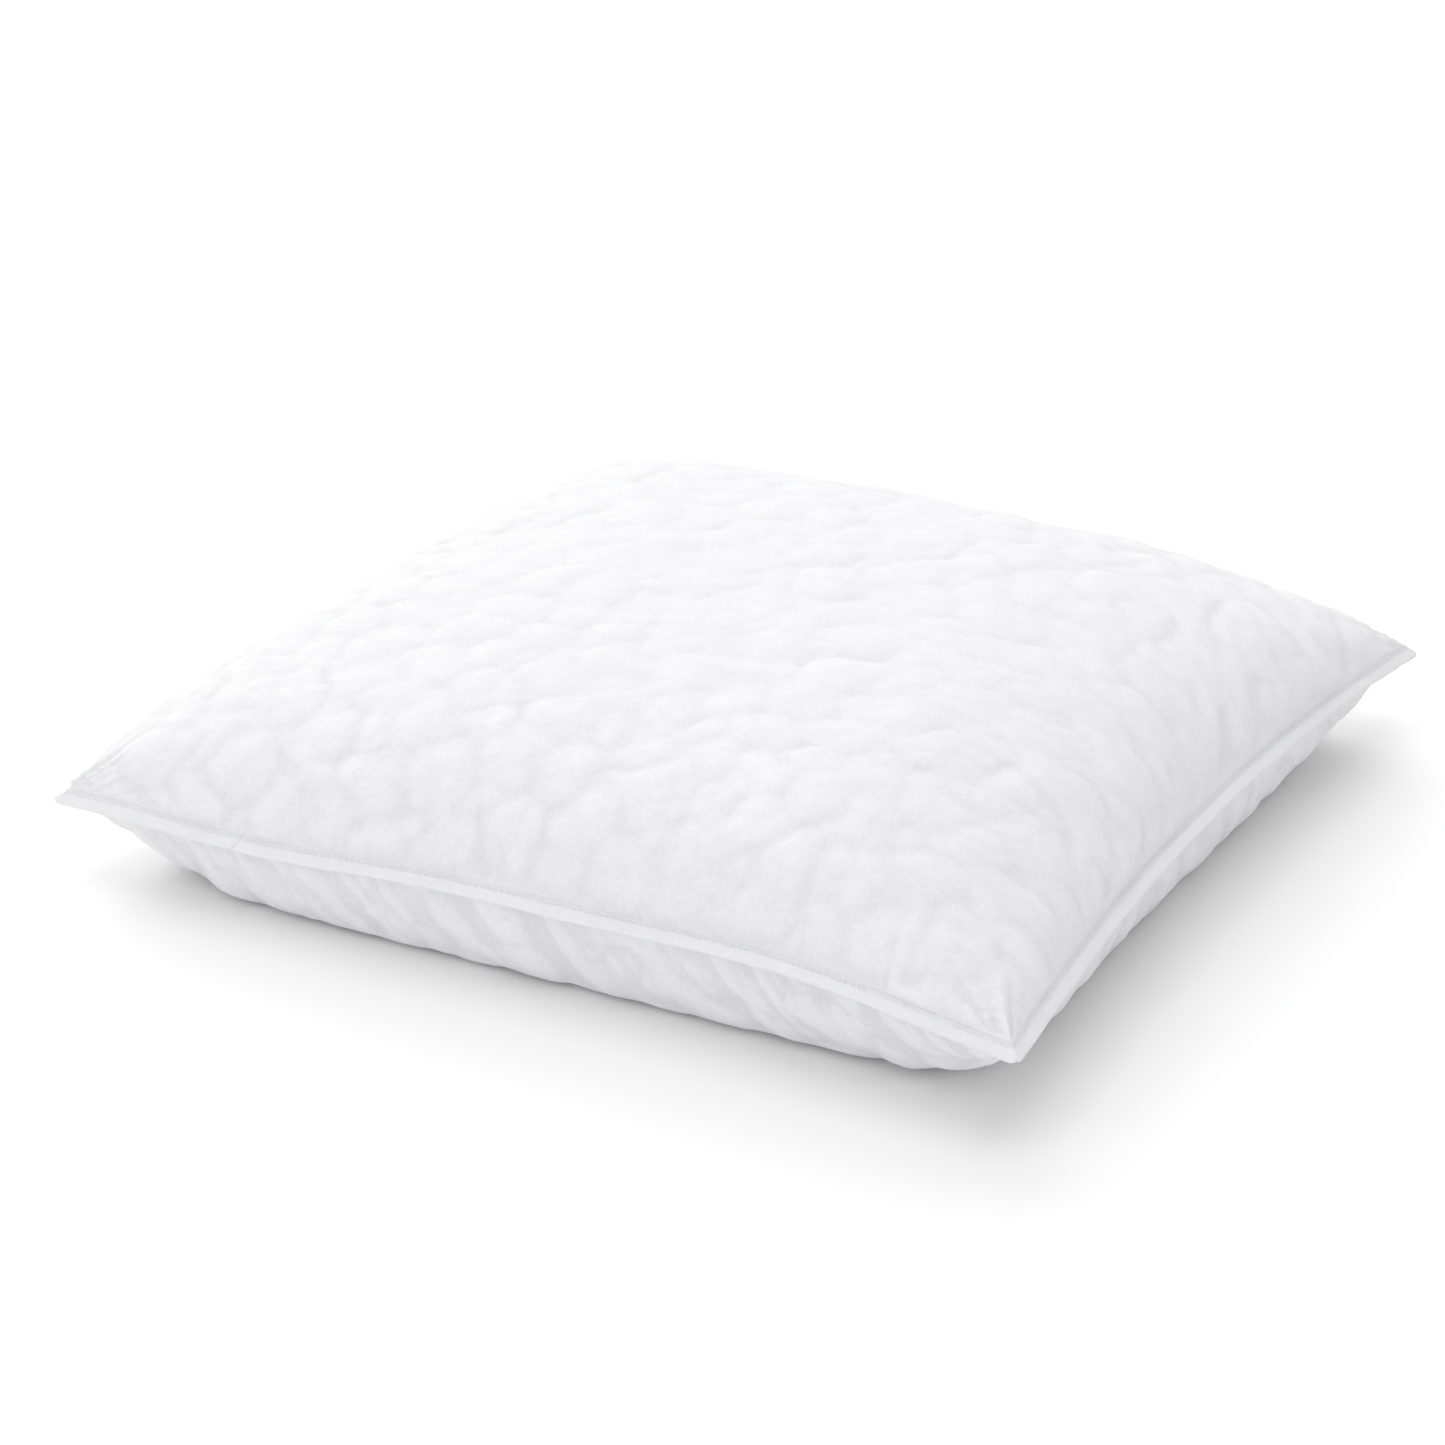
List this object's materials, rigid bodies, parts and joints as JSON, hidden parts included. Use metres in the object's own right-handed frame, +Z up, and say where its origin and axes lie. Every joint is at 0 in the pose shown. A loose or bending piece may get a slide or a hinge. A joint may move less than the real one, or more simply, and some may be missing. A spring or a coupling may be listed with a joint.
{
  "type": "bed pillow",
  "caption": "Plump square bed pillow with taped and stitched edges, pointed corners and a loose clumped fibre fill.",
  "frame": {"origin": "on the floor under the middle of the pillow", "axes": "+Z up through the crown, +X to the right side, the front side with the closed filling gap faces -Y"},
  "size_m": [0.6387, 0.617, 0.152],
  "materials": {
    "cover_cloth": "matte brushed white microfibre",
    "binding_tape": "matte woven white tape",
    "sewing_thread": "soft sheen spun polyester",
    "label_satin": "satin ribbon",
    "fibre_fill": "matte crimped polyester fibre"
  },
  "bodies": {
    "root": {"top_panel": "cover_cloth", "bottom_panel": "cover_cloth", "edge_binding": "binding_tape", "closing_binding": "binding_tape", "needle_thread": "sewing_thread", "bobbin_thread": "sewing_thread", "closing_needle_thread": "sewing_thread", "closing_bobbin_thread": "sewing_thread", "care_label": "label_satin", "fill_core": "fibre_fill", "fill_clumps_upper": "fibre_fill", "fill_clumps_lower": "fibre_fill", "fill_clumps_rim": "fibre_fill"}
  },
  "joints": []
}
